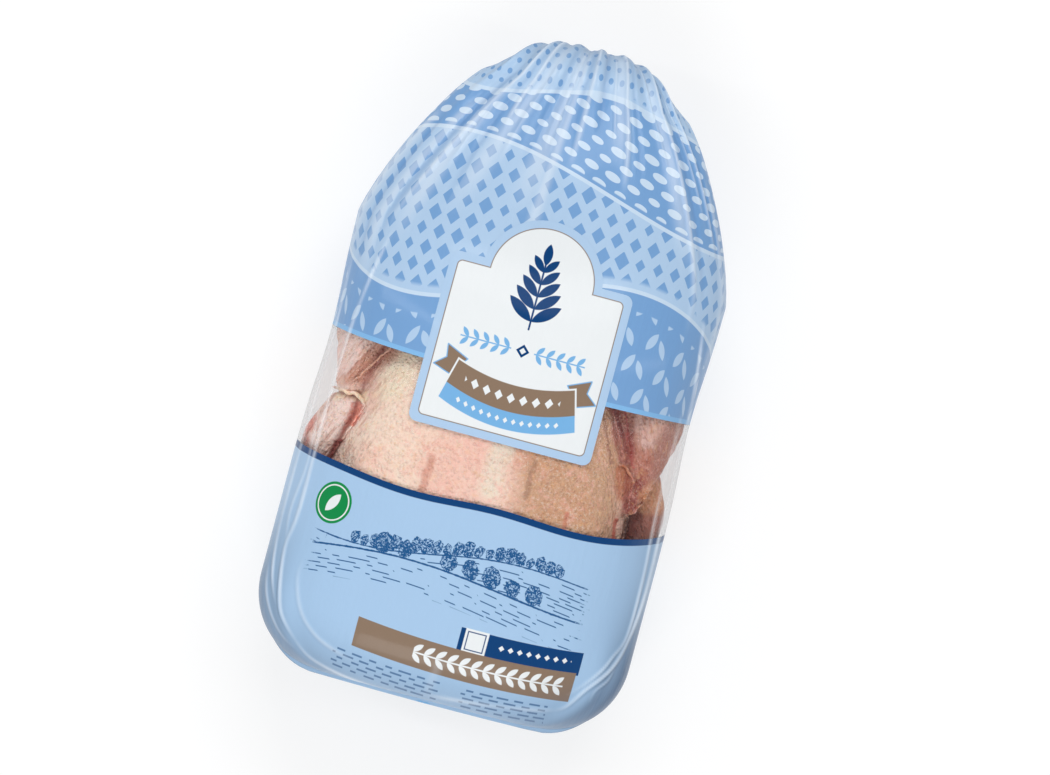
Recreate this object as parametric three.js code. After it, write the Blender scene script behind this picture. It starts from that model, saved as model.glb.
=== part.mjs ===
// A whole raw chicken packed in a gathered film bag, lying on its back with the printed front up.
// Millimetres. +Z is up, +Y runs from the flat sealed end to the gathered end, +X is the pack's right side.
// The origin is on the table, under the middle of the pack.
//
// The filled bag is one closed skin. Its sections follow a spine that runs along the pack, folds over at the
// gathered end and comes back underneath as the neck, which a metal clip holds shut, and a short tail of film.
import * as THREE from "three";
import { ParametricGeometry } from "three/addons/geometries/ParametricGeometry.js";

// Driving sizes of the bag
const SEALED_END_Y = -151.4;
const FOLD_START_Y = 130;
const SIDE_HALF_WIDTH = 85.2;
const WAIST_DEPTH = 2.1;
const WAIST_SPREAD = 30;
const BREAST_HEIGHT = 108;
const WIDEST_HEIGHT = 46;
const BACK_SINK = 1.6;

// The flat sealed end: a face with rounded edges all round, and the seal across it
const END_CORNER_R = 38;
const END_EDGE_R = 30;
const END_TOP_Z = 97;
const SEAL_HEIGHT = 2.2;
const END_DOME = 0.4;

// The taper from the shoulders to the gathered end
const SHOULDER_Y = 54;
const RIDGE_Y = 151.5;
const TAPER_BEND = 1.2;
const TAPER_POWER = 0.45;

// The fold over the gathered end
const FOLD_RADIUS = 12;
const FOLD_ANGLE = THREE.MathUtils.degToRad(150);
const FOLD_CENTRE_Z = 37;
const FOLD_TOP_SHARE = 0.6;
const BUNDLE_HALF_WIDTH = 25;
const BUNDLE_ABOVE = 9.5;
const BUNDLE_BELOW = 7.5;
const NECK_RADIUS = 5.6;
const NECK_LENGTH = 6;

// The clip and the tail of film behind it
const CLIP_WIDTH = 5;
const CLIP_THICKNESS = 1.6;
const CLIP_GAP = 0.3;
const TAIL_LENGTH = 27;
const TAIL_HALF_WIDTH = 17;
const TAIL_HALF_THICKNESS = 2.4;

// The pleats of the front: the angle round the bag in degrees (90 is the middle of the front), how far down
// the bag each one reaches, its height (a groove is negative) and its half width in degrees
const FRONT_PLEATS = [
  { at: 28, reach: 84, height: 1.5, spread: 9 },
  { at: 43, reach: 48, height: 1.9, spread: 9 },
  { at: 63, reach: 78, height: 2.1, spread: 12 },
  { at: 85, reach: 70, height: 1.3, spread: 7 },
  { at: 97, reach: 40, height: -1.9, spread: 7 },
  { at: 108, reach: 62, height: 1.4, spread: 8 },
  { at: 127, reach: 92, height: 1.9, spread: 11 },
  { at: 148, reach: 58, height: 1.9, spread: 9 },
];
// The pleats of the sides and the back, evenly placed with uneven heights
const BACK_PLEATS = 9;
const BACK_PLEAT_HEIGHT = 1.8;
const BACK_PLEAT_SPREAD = 12;
const BACK_PLEAT_REACH = 90;
const PLEAT_FULL_Y = 140;
const PLEAT_AT_NECK = 0.3;

// The bird's forms that stand out under the film of the front: place, spread each way and height
const BIRD_FORMS = [
  { name: "left thigh", x: -45, y: 40, wide: 27, long: 34, height: 3.2 },
  { name: "right thigh", x: 47, y: 42, wide: 27, long: 34, height: 3.2 },
  { name: "left breast", x: -27, y: -58, wide: 30, long: 46, height: 1.8 },
  { name: "right breast", x: 29, y: -56, wide: 30, long: 46, height: 1.8 },
  { name: "gap between the legs", x: 0, y: 84, wide: 15, long: 30, height: -2.6 },
];

// The creases where the film turns over the front's corners at the sealed end
const CREASE_ANGLE = 37;
const CREASE_SPREAD = 10;
const CREASE_HEIGHT = 1;

// The mesh: steps round the bag, closer together on the front, and along it
const FRONT_STEPS = 66;
const BACK_STEPS = 46;
const END_SHARES = [0, 0.3, 0.6, 0.85];
const CORNER_STEPS = 7;
const BODY_STEPS = 20;
const FOLD_STEPS = 10;
const TAIL_STEPS = 4;

const clamp01 = (t) => Math.min(1, Math.max(0, t));
const smooth = (from, to, x) => {
  const t = clamp01((x - from) / (to - from));
  return t * t * (3 - 2 * t);
};
const mix = THREE.MathUtils.lerp;
const bump = (distance, spread) => Math.exp(-((distance / spread) ** 2));

// How far a rounded edge of radius r has come out, at a distance from the end face
const roundedEdge = (r, distance) => {
  const left = Math.max(0, r - distance);
  return Math.sqrt(r * r - left * left) - r;
};

// The bag's half width, measured square to the spine
function halfWidth(y) {
  const side = SIDE_HALF_WIDTH - WAIST_DEPTH * bump(y, WAIST_SPREAD);
  const t = clamp01((y - SHOULDER_Y) / (RIDGE_Y - SHOULDER_Y));
  return (side + roundedEdge(END_CORNER_R, y - SEALED_END_Y)) * (1 - t ** TAPER_BEND) ** TAPER_POWER;
}

// The front film's height: rounded at the sealed end, highest on the breast, falling to the gathered end
function frontHeight(y) {
  const end = roundedEdge(END_EDGE_R, y - SEALED_END_Y);
  const rise = mix(END_TOP_Z, BREAST_HEIGHT, smooth(-140, -10, y));
  const bundleTop = FOLD_CENTRE_Z + FOLD_RADIUS + BUNDLE_ABOVE;
  return mix(rise, bundleTop, smooth(8, 148, y)) + end;
}

// The back film's height: a little below the table, where the weight flattens it, lifting at both ends
function backHeight(y) {
  const end = -roundedEdge(END_EDGE_R, y - SEALED_END_Y);
  const lift = clamp01((y - 50) / (FOLD_START_Y - 50));
  return end - BACK_SINK + (FOLD_CENTRE_Z + FOLD_RADIUS - BUNDLE_BELOW + BACK_SINK) * lift ** 1.7;
}

// A section: the spine's point, how far the spine leans over, how far the skin reaches each way, how square
// its front and back are, how far along the bag it is, and its share of the end face
function bodySection(y) {
  const widest = mix(WIDEST_HEIGHT, FOLD_CENTRE_Z + FOLD_RADIUS, smooth(40, FOLD_START_Y, y));
  return {
    y,
    z: widest,
    lean: 0,
    half: halfWidth(y),
    above: frontHeight(y) - widest,
    below: widest - backHeight(y),
    frontPower: mix(2.5, 2.25, smooth(-120, 60, y)),
    backPower: mix(3.2, 2.2, smooth(30, FOLD_START_Y, y)),
    along: y,
    face: 1,
  };
}

// The sealed end's face: the end section drawn in towards its middle, slightly domed
function endSection(share) {
  const rim = bodySection(SEALED_END_Y);
  const middle = (rim.above - rim.below) / 2;
  const reach = (rim.above + rim.below) / 2;
  return {
    ...rim,
    y: SEALED_END_Y + SEAL_HEIGHT - END_DOME * (1 - share * share),
    z: rim.z + middle * (1 - share),
    half: rim.half * share,
    above: (reach + middle) * share,
    below: (reach - middle) * share,
    face: share,
  };
}

// The fold: the section turns about a line across the pack and narrows to the neck
function foldSection(share) {
  const lean = FOLD_ANGLE * share;
  const narrow = smooth(FOLD_TOP_SHARE * 0.8, 1, share);
  const top = clamp01(share / FOLD_TOP_SHARE);
  const start = bodySection(FOLD_START_Y);
  return {
    ...start,
    y: FOLD_START_Y + FOLD_RADIUS * Math.sin(lean),
    z: FOLD_CENTRE_Z + FOLD_RADIUS * Math.cos(lean),
    lean,
    half: mix(mix(start.half, BUNDLE_HALF_WIDTH, top ** 0.9), NECK_RADIUS * 1.6, narrow),
    above: mix(mix(start.above, BUNDLE_ABOVE, smooth(0, 1, top)), NECK_RADIUS, narrow),
    below: mix(BUNDLE_BELOW, NECK_RADIUS, narrow),
    along: FOLD_START_Y + 40 * share,
  };
}

// The straight run after the fold: neck, clip seat and the flared tail, at a distance from the fold's end
function runSection(distance) {
  const end = foldSection(1);
  const tail = clamp01((distance - NECK_LENGTH - CLIP_WIDTH) / TAIL_LENGTH);
  const flare = Math.sin((tail * Math.PI) / 2);
  return {
    ...end,
    y: end.y + distance * Math.cos(FOLD_ANGLE),
    z: end.z - distance * Math.sin(FOLD_ANGLE),
    half: mix(mix(end.half, NECK_RADIUS, smooth(0, NECK_LENGTH, distance)), TAIL_HALF_WIDTH, flare),
    above: mix(NECK_RADIUS, TAIL_HALF_THICKNESS, flare),
    below: mix(NECK_RADIUS, TAIL_HALF_THICKNESS, flare),
    frontPower: 2,
    backPower: 2,
    along: end.along + distance,
  };
}

// All sections in order, from the middle of the sealed end to the middle of the tail's cut end
function allSections() {
  const list = END_SHARES.map(endSection);
  for (let i = 0; i < CORNER_STEPS; i++) {
    const turned = (Math.PI / 2) * (i / CORNER_STEPS);
    const section = bodySection(SEALED_END_Y + END_CORNER_R * (1 - Math.cos(turned)));
    list.push({ ...section, y: section.y + SEAL_HEIGHT * (1 - Math.sin(turned)) });
  }
  for (let i = 0; i < BODY_STEPS; i++) {
    list.push(bodySection(mix(SEALED_END_Y + END_CORNER_R, FOLD_START_Y, (i / BODY_STEPS) ** 0.9)));
  }
  for (let i = 0; i <= FOLD_STEPS; i++) list.push(foldSection(i / FOLD_STEPS));
  for (const distance of [NECK_LENGTH / 2, NECK_LENGTH]) list.push(runSection(distance));
  for (let i = 0; i <= TAIL_STEPS; i++) {
    list.push(runSection(NECK_LENGTH + CLIP_WIDTH + (TAIL_LENGTH * i) / TAIL_STEPS));
  }
  list.push({ ...list.at(-1), half: 0, above: 0, below: 0 });
  return list;
}

// The shape across a ridge: 1 on its line, 0 at its spread. Angles are in degrees.
function ridge(angle, at, spread) {
  const off = Math.abs(THREE.MathUtils.euclideanModulo(angle - at + 180, 360) - 180) / spread;
  return off < 1 ? (0.5 + 0.5 * Math.cos(Math.PI * off)) ** 1.3 : 0;
}

// How far the pleats lift the film at an angle round the bag
function pleatLift(angle, section) {
  const toNeck = smooth(PLEAT_FULL_Y, FOLD_START_Y + 38, section.along);
  const grown = (reach) => smooth(reach, PLEAT_FULL_Y, section.along) ** 1.2;
  let lift = 0;
  for (const { at, reach, height, spread } of FRONT_PLEATS) {
    lift += mix(height, PLEAT_AT_NECK, toNeck) * grown(reach) * ridge(angle, at, spread);
  }
  for (let i = 0; i < BACK_PLEATS; i++) {
    const at = 180 + ((i + 0.5) * 180) / BACK_PLEATS + 4 * Math.sin(5 * i);
    const height = BACK_PLEAT_HEIGHT * (1 + 0.4 * Math.sin(7 * i + 1));
    const full = mix(height, PLEAT_AT_NECK, toNeck);
    lift += full * grown(BACK_PLEAT_REACH) * ridge(angle, at, BACK_PLEAT_SPREAD);
  }
  return lift;
}

// How far the bird's forms lift the film of the front
function birdLift(x, y, front) {
  let lift = 0;
  for (const form of BIRD_FORMS) lift += form.height * bump(x - form.x, form.wide) * bump(y - form.y, form.long);
  return lift * clamp01(front * 1.6);
}

// The creases over the two front corners of the sealed end
function creaseLift(angle, section) {
  const near = 1 - smooth(SEALED_END_Y + 18, SEALED_END_Y + 62, section.along);
  const crease = ridge(angle, CREASE_ANGLE, CREASE_SPREAD) + ridge(angle, 180 - CREASE_ANGLE, CREASE_SPREAD);
  return CREASE_HEIGHT * near * section.face ** 3 * crease;
}

// The seal stands out along the middle of the sealed end's face and dies out on the sides
function sealLift(up, section) {
  const near = 1 - smooth(SEALED_END_Y, SEALED_END_Y + 12, section.along);
  return SEAL_HEIGHT * near * (1 - smooth(0, SEAL_HEIGHT, Math.abs(up)));
}

// The point of a section at an angle: 0 is the pack's right side and a quarter turn is the front
function skinPoint(section, angle, target) {
  const c = Math.cos(angle);
  const s = Math.sin(angle);
  const power = s >= 0 ? section.frontPower : section.backPower;
  const reach = s >= 0 ? section.above : section.below;
  const stretch = (Math.abs(c) ** power + Math.abs(s) ** power) ** (-1 / power);
  const x = section.half * stretch * c;
  const up = reach * stretch * s;
  const degrees = THREE.MathUtils.radToDeg(angle);
  const inside = mix(1, 0.3, clamp01(-3 * s) * smooth(0, 0.5, section.lean / FOLD_ANGLE));
  const lift =
    pleatLift(degrees, section) * inside * clamp01(section.half / 4) +
    birdLift(x, section.along, s) * section.face +
    creaseLift(degrees, section);
  const out = new THREE.Vector2(c / Math.max(section.half, 1), s / Math.max(reach, 1)).normalize();
  const outUp = up + out.y * lift;
  const y = section.y + outUp * Math.sin(section.lean) - sealLift(up, section);
  const z = section.z + outUp * Math.cos(section.lean);
  return target.set(x + out.x * lift, y, Math.max(z, 0));
}

function bagGeometry() {
  const sections = allSections();
  const last = sections.length - 1;
  const steps = FRONT_STEPS + BACK_STEPS;
  const shape = (u, v, target) => {
    const step = Math.round(u * steps);
    const back = Math.min(step, BACK_STEPS) / BACK_STEPS;
    const front = Math.max(step - BACK_STEPS, 0) / FRONT_STEPS;
    skinPoint(sections[Math.round(v * last)], -Math.PI * (back + front), target);
  };
  return new ParametricGeometry(shape, steps, last);
}

// The clip: a crimped metal band, clear of the film by a small gap
function clipGeometry() {
  const inside = NECK_RADIUS + PLEAT_AT_NECK * 2 + CLIP_GAP;
  const outside = inside + CLIP_THICKNESS;
  const edge = CLIP_THICKNESS * 0.4;
  const half = CLIP_WIDTH / 2 - CLIP_GAP;
  const profile = [
    [inside, -half],
    [outside - edge, -half],
    [outside, -half + edge],
    [outside, half - edge],
    [outside - edge, half],
    [inside, half],
    [inside, -half],
  ].map(([r, h]) => new THREE.Vector2(r, h));
  return new THREE.LatheGeometry(profile, 32);
}

function bag() {
  const material = new THREE.MeshStandardMaterial({ color: 0xabcbeb, roughness: 0.3, metalness: 0 });
  const mesh = new THREE.Mesh(bagGeometry(), material);
  mesh.name = "bag";
  return mesh;
}

function clip() {
  const material = new THREE.MeshStandardMaterial({ color: 0xb9bcc0, roughness: 0.35, metalness: 1 });
  const mesh = new THREE.Mesh(clipGeometry(), material);
  const seat = runSection(NECK_LENGTH + CLIP_WIDTH / 2);
  mesh.position.set(0, seat.y, seat.z);
  mesh.rotation.x = -FOLD_ANGLE;
  mesh.name = "clip";
  return mesh;
}

const pack = new THREE.Group();
pack.add(bag(), clip());

export default pack;
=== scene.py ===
# Looks for a whole raw chicken packed in a printed film bag. The pack lies on its back, front up.
# The film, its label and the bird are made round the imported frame, and the clip keeps the frame's solid.
# Sizes are in millimetres until a mesh is made. Places are in the frame's own axes: +X right, +Y towards
# the gathered end, +Z up.
import math
from functools import reduce

import bpy
import numpy as np
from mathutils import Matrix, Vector
from mathutils.geometry import delaunay_2d_cdt


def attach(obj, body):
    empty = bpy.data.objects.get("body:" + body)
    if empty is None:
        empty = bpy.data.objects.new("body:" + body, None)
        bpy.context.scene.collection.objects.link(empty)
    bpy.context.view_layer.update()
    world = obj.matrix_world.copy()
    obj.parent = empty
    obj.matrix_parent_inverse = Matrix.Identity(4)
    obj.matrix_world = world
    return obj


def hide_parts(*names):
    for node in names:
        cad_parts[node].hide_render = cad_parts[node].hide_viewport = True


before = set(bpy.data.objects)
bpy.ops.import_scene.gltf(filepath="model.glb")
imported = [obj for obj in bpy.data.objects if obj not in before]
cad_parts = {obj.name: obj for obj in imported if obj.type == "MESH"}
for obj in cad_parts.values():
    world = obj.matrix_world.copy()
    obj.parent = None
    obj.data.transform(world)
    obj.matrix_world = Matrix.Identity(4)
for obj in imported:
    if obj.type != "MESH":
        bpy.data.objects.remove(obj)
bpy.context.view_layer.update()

MM = 0.001

# The bag's driving sizes, as in the frame's solid
SEALED_END_Y = -151.4
FOLD_START_Y = 130.0
SIDE_HALF_WIDTH = 85.2
WAIST_DEPTH = 2.1
WAIST_SPREAD = 30.0
BREAST_HEIGHT = 108.0
WIDEST_HEIGHT = 46.0
BACK_SINK = 1.6
END_CORNER_R = 38.0
END_EDGE_R = 30.0
END_TOP_Z = 97.0
SEAL_HEIGHT = 2.2
END_DOME = 0.4
SHOULDER_Y = 54.0
RIDGE_Y = 151.5
TAPER_BEND = 1.2
TAPER_POWER = 0.45
FOLD_RADIUS = 12.0
FOLD_ANGLE = math.radians(150)
FOLD_CENTRE_Z = 37.0
FOLD_TOP_SHARE = 0.6
FOLD_SPAN = 40.0
BUNDLE_HALF_WIDTH = 25.0
BUNDLE_ABOVE = 9.5
BUNDLE_BELOW = 7.5
NECK_RADIUS = 5.6
NECK_LENGTH = 6.0
CLIP_WIDTH = 5.0
TAIL_LENGTH = 27.0
TAIL_HALF_WIDTH = 17.0
TAIL_HALF_THICKNESS = 2.4
END_SPAN = 60.0
BREAST_RISE = (-140, -10)
BREAST_FALL = (8, 148)
BACK_LIFT_Y = 50.0
BACK_LIFT_POWER = 1.7
WIDEST_LIFT_Y = 40.0
BUNDLE_GROWTH = 0.9
NECK_START_SCALE = 1.6
SEAL_REACH = 12.0
# The power of the section's shape, where 2 is round and more is squarer. The front's and the back's
# change along the bag, between the two places that follow each.
ROUND_POWER = 2.0
FRONT_SQUARENESS = (2.5, 2.25)
FRONT_SQUARE_Y = (-120, 60)
BACK_SQUARENESS = (3.2, 2.2)
BACK_SQUARE_Y = (30, FOLD_START_Y)
NARROW_START = FOLD_TOP_SHARE * 0.8
TAIL_END = FOLD_START_Y + FOLD_SPAN + NECK_LENGTH + CLIP_WIDTH + TAIL_LENGTH

# Pleats of the front: angle round the bag, how far down they reach, height and half width in degrees
FRONT_PLEATS = (
    (28, 84, 1.5, 9),
    (43, 48, 1.9, 9),
    (63, 78, 2.1, 12),
    (85, 70, 1.3, 7),
    (97, 40, -1.9, 7),
    (108, 62, 1.4, 8),
    (127, 92, 1.9, 11),
    (148, 58, 1.9, 9),
)
# Pleats of the back, as above, evenly spaced with small shifts
BACK_PLEATS = tuple(
    (190 + 20 * i + 4 * math.sin(5 * i), 90, 1.8 * (1 + 0.4 * math.sin(7 * i + 1)), 12) for i in range(9)
)
PLEAT_FULL_Y = 140.0
PLEAT_END_Y = 168.0
PLEAT_AT_NECK = 0.3
PLEAT_GROWTH = 1.2
PLEAT_INSIDE_FOLD = 0.3

# The bird's forms under the film of the front: x, y, spread across, spread along, height
BIRD_FORMS = (
    (-45, 40, 27, 34, 3.2),
    (47, 42, 27, 34, 3.2),
    (-27, -58, 30, 46, 1.8),
    (29, -56, 30, 46, 1.8),
    (0, 84, 15, 30, -2.6),
)
CREASE_ANGLE = 37.0
CREASE_SPREAD = 10.0
CREASE_HEIGHT = 1.0
CREASE_REACH = (18, 62)
# Where a pleat's line has fully come and where it starts to go, as shares of its length
LINE_IN = 0.35
LINE_OUT = 0.85
SIDE_CREASE_END = 20.0

# Pleats' sharp lines and soft sheens: angle at each end in degrees, from and to along the bag, height,
# half width in degrees, and how far a painted highlight whitens the film there, or, where below 0, how far
# painted shade deepens its blue
LONG_CREASES = (
    (96, 95, 40, 152, 0.6, 3.4, 0.55),
    (101, 98, 66, 150, 0.3, 8.0, 0.45),
    (89, 87, 92, 156, 0.7, 2.2, 0.6),
    (99, 98, 96, 150, 0.7, 1.8, 0.6),
    (118, 121, 96, 156, 0.9, 2.6, 0.7),
    (114, 112, 84, 140, 0.5, 1.8, 0.4),
    (122, 112, 58, 150, 0.3, 7.0, 0.45),
    (141, 126, 44, 152, 0.9, 2.6, 0.75),
    (136, 130, 40, 132, 0.4, 6.5, 0.5),
    (131, 128, 74, 132, 0.6, 1.8, 0.4),
    (150, 140, 20, 120, 0.4, 5.5, 0.5),
    (166, 160, 30, 110, 0.5, 9.0, 0.55),
    (68, 66, 88, 156, 0.9, 2.2, 0.7),
    (73, 74, 104, 150, 0.5, 1.6, 0.45),
    (70, 70, 100, 150, 0.3, 8.0, 0.4),
    (38, 45, 34, 154, 0.9, 2.4, 0.7),
    (42, 50, 60, 146, 0.3, 7.0, 0.45),
    (48, 53, 98, 150, 0.6, 1.6, 0.4),
    (24, 31, 70, 150, 0.8, 2.2, 0.6),
    (30, 36, 84, 140, 0.5, 1.6, 0.4),
    (16, 20, 10, 110, 0.3, 6.0, 0.35),
    (90, 88, -150, -128, 0.5, 3.0, 0.2),
    (92, 91, 104, 156, -0.4, 2.4, -0.5),
    (106, 104, 90, 150, -0.4, 3.0, -0.35),
    (124, 124, 60, 150, -0.5, 2.6, -0.4),
    (146, 133, 30, 140, -0.6, 3.4, -0.6),
    (156, 150, 20, 110, -0.5, 3.0, -0.5),
    (80, 80, 110, 156, -0.5, 3.4, -0.45),
    (62, 62, 92, 152, -0.4, 2.8, -0.35),
    (33, 41, 44, 146, -0.5, 2.8, -0.45),
    (20, 26, 60, 140, -0.4, 3.0, -0.4),
)
# Creases along the sides and the sealed end: height, half width, then places across and along the front
SIDE_CREASES = (
    (0.8, 1.5, ((-66, 54), (-72, 20), (-75, -20), (-75, -80), (-77, -100),
                (-73, -123), (-67, -133), (-57, -142))),
    (0.7, 1.4, ((-67, -133), (-57, -142), (-47, -146), (-30, -149), (-8, -150))),
    (0.7, 1.2, ((-82, 40), (-81, 0), (-82, -56), (-82, -90), (-80, -110), (-76, -122), (-72, -127))),
    (0.6, 1.2, ((-83, -104), (-81, -118), (-76, -129), (-68, -138), (-58, -143))),
    (0.4, 1.6, ((-67, -98), (-68, -110), (-63, -124), (-54, -133), (-42, -138), (-30, -140))),
    (0.5, 1.2, ((-79, -30), (-77, -60), (-79, -84), (-76, -104))),
    (0.8, 1.5, ((76, 50), (81, 10), (82, -40), (83, -78), (81, -100),
                (77, -114), (68, -126), (61, -136), (54, -139))),
    (0.6, 1.3, ((78, 10), (78, -40), (80, -70), (80, -98), (76, -109), (72, -117), (64, -127), (58, -132))),
    (0.6, 1.1, ((79, -109), (77, -119), (72, -126), (71, -134))),
    (0.5, 1.8, ((-8, -147), (24, -144), (50, -140), (61, -137))),
)


def clamp01(t):
    return np.clip(t, 0.0, 1.0)


def smooth(start, end, x):
    t = clamp01((x - start) / (end - start))
    return t * t * (3 - 2 * t)


def mix(a, b, t):
    return a + (b - a) * t


def bump(distance, spread):
    return np.exp(-((distance / spread) ** 2))


def rounded_edge(r, distance):
    """How far a rounded edge of radius r has come out, at a distance from the end face."""
    left = np.maximum(0, r - distance)
    return np.sqrt(r * r - left * left) - r


def turned(x, y, from_x, from_y, c, s):
    """Places along and across a direction with this cosine and sine, from a point."""
    return (x - from_x) * c + (y - from_y) * s, (y - from_y) * c - (x - from_x) * s


def beside(x, y, ax, ay, bx, by):
    """Places along and across the line from a to b, and its length."""
    long = math.hypot(bx - ax, by - ay)
    return *turned(x, y, ax, ay, (bx - ax) / long, (by - ay) / long), long


# The bag's surface. A station runs from the middle of the sealed end's face to the end of the tail.
def half_width(y):
    side = SIDE_HALF_WIDTH - WAIST_DEPTH * bump(y, WAIST_SPREAD)
    t = clamp01((y - SHOULDER_Y) / (RIDGE_Y - SHOULDER_Y))
    return (side + rounded_edge(END_CORNER_R, y - SEALED_END_Y)) * (1 - t**TAPER_BEND) ** TAPER_POWER


def front_height(y):
    end = rounded_edge(END_EDGE_R, y - SEALED_END_Y)
    rise = mix(END_TOP_Z, BREAST_HEIGHT, smooth(*BREAST_RISE, y))
    return mix(rise, FOLD_CENTRE_Z + FOLD_RADIUS + BUNDLE_ABOVE, smooth(*BREAST_FALL, y)) + end


def back_height(y):
    end = -rounded_edge(END_EDGE_R, y - SEALED_END_Y)
    lift = clamp01((y - BACK_LIFT_Y) / (FOLD_START_Y - BACK_LIFT_Y)) ** BACK_LIFT_POWER
    return end - BACK_SINK + (FOLD_CENTRE_Z + FOLD_RADIUS - BUNDLE_BELOW + BACK_SINK) * lift


def section(station):
    """The section at each station: its middle, lean, reach to each side and squareness."""
    y = np.clip(station, SEALED_END_Y, FOLD_START_Y)
    share = clamp01((station - FOLD_START_Y) / FOLD_SPAN)
    run = np.maximum(0, station - FOLD_START_Y - FOLD_SPAN)
    face = clamp01(1 - (SEALED_END_Y - station) / END_SPAN)
    lean = FOLD_ANGLE * share
    narrow = smooth(NARROW_START, 1, share)
    top = clamp01(share / FOLD_TOP_SHARE)
    neck = smooth(0, NECK_LENGTH, run)
    flare = np.sin(clamp01((run - NECK_LENGTH - CLIP_WIDTH) / TAIL_LENGTH) * math.pi / 2)
    widest = mix(WIDEST_HEIGHT, FOLD_CENTRE_Z + FOLD_RADIUS, smooth(WIDEST_LIFT_Y, FOLD_START_Y, y))
    above = front_height(y) - widest
    below = widest - back_height(y)
    half = mix(half_width(y), BUNDLE_HALF_WIDTH, top**BUNDLE_GROWTH)
    half = mix(half, NECK_RADIUS * NECK_START_SCALE, narrow)
    half = mix(mix(half, NECK_RADIUS, neck), TAIL_HALF_WIDTH, flare)
    above = mix(mix(above, BUNDLE_ABOVE, smooth(0, 1, top)), NECK_RADIUS, narrow)
    above = mix(above, TAIL_HALF_THICKNESS, flare)
    below = mix(mix(below, NECK_RADIUS, narrow), TAIL_HALF_THICKNESS, flare)
    middle = (above - below) / 2
    reach = (above + below) / 2
    corner = clamp01(1 - (y - SEALED_END_Y) / END_CORNER_R)
    tuck = SEAL_HEIGHT * (1 - np.sqrt(1 - corner**2))
    dome = END_DOME * (1 - face**2)
    return {
        "station": station,
        "y": y + tuck - dome + FOLD_RADIUS * np.sin(lean) + run * math.cos(FOLD_ANGLE),
        "z": widest + middle * (1 - face) + FOLD_RADIUS * (np.cos(lean) - 1) - run * math.sin(FOLD_ANGLE),
        "lean": lean,
        "half": half * face,
        "above": np.where(face < 1, (reach + middle) * face, above),
        "below": np.where(face < 1, (reach - middle) * face, below),
        "front_power": np.where(run > 0, ROUND_POWER, mix(*FRONT_SQUARENESS, smooth(*FRONT_SQUARE_Y, y))),
        "back_power": np.where(run > 0, ROUND_POWER, mix(*BACK_SQUARENESS, smooth(*BACK_SQUARE_Y, y))),
        "face": face,
    }


def ridge(angle, at, spread):
    """The shape across a ridge: 1 on its line, 0 at its spread. Angles are in degrees."""
    off = np.abs((angle - at + 180) % 360 - 180) / spread
    return np.where(off < 1, 0.5 + 0.5 * np.cos(math.pi * np.minimum(off, 1)), 0) ** 1.3


def pleat_lift(angle, station):
    to_neck = smooth(PLEAT_FULL_Y, PLEAT_END_Y, station)
    lift = np.zeros_like(angle)
    for at, reach, height, spread in FRONT_PLEATS + BACK_PLEATS:
        grown = smooth(reach, PLEAT_FULL_Y, station) ** PLEAT_GROWTH
        lift += mix(height, PLEAT_AT_NECK, to_neck) * grown * ridge(angle, at, spread)
    return lift


def bird_lift(x, station, front):
    lift = sum(h * bump(x - fx, wide) * bump(station - fy, long) for fx, fy, wide, long, h in BIRD_FORMS)
    return lift * clamp01(front * 1.6)


def crease_lift(angle, s):
    near = 1 - smooth(*CREASE_REACH, s["station"] - SEALED_END_Y)
    both = ridge(angle, CREASE_ANGLE, CREASE_SPREAD) + ridge(angle, 180 - CREASE_ANGLE, CREASE_SPREAD)
    return CREASE_HEIGHT * near * s["face"] ** 3 * both


def long_creases(degrees, station):
    """The lift of the pleats' sharp lines and sheens, and how far a painted highlight whitens the film
    there, or painted shade darkens it where below 0.
    """
    lift = np.zeros_like(degrees)
    white = np.zeros_like(lift)
    for low_at, high_at, start, end, height, spread, sheen_and_shade in LONG_CREASES:
        share = clamp01((station - start) / (end - start))
        reach = smooth(0, LINE_IN, share) * (1 - smooth(LINE_OUT, 1, share))
        shape = ridge(degrees, mix(low_at, high_at, share), spread) * reach
        lift += height * shape
        white = np.where(np.abs(sheen_and_shade * shape) > np.abs(white), sheen_and_shade * shape, white)
    return lift, white


def soft_route(path, steps=5):
    """A smooth curve through the places of a path."""
    ends = np.array([path[0], *path, path[-1]], float)
    route = []
    for before, a, b, after in zip(ends, ends[1:], ends[2:], ends[3:]):
        for t in np.arange(steps) / steps:
            near, far = (t**3 - 2 * t * t + t) / 2, (t**3 - t * t) / 2
            route.append(mix(a, b, t * t * (3 - 2 * t)) + near * (b - before) + far * (after - a))
    return [*route, ends[-1]]


def side_creases(x, y, front):
    """The lift of the creases at the sides and the sealed end."""
    lift = np.zeros_like(x)
    uneven = 0.72 + 0.28 * np.sin(x * 0.13 + y * 0.11) * np.sin(y * 0.061 + 1.0)
    for height, spread, corners in SIDE_CREASES:
        path = soft_route(corners)
        nearest = np.full_like(lift, 99.0)
        for (ax, ay), (bx, by) in zip(path, path[1:]):
            along, across, long = beside(x, y, ax, ay, bx, by)
            nearest = np.minimum(nearest, np.hypot(along - np.clip(along, 0, long), across))
        from_ends = reduce(np.minimum, (np.hypot(x - ex, y - ey) for ex, ey in (path[0], path[-1])))
        shape = np.where(nearest < spread, 0.5 + 0.5 * np.cos(math.pi * np.minimum(nearest / spread, 1)), 0)
        lift = np.maximum(lift, height * shape**1.5 * smooth(0, SIDE_CREASE_END, from_ends) * uneven)
    return lift * smooth(0, 0.25, front)


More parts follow.
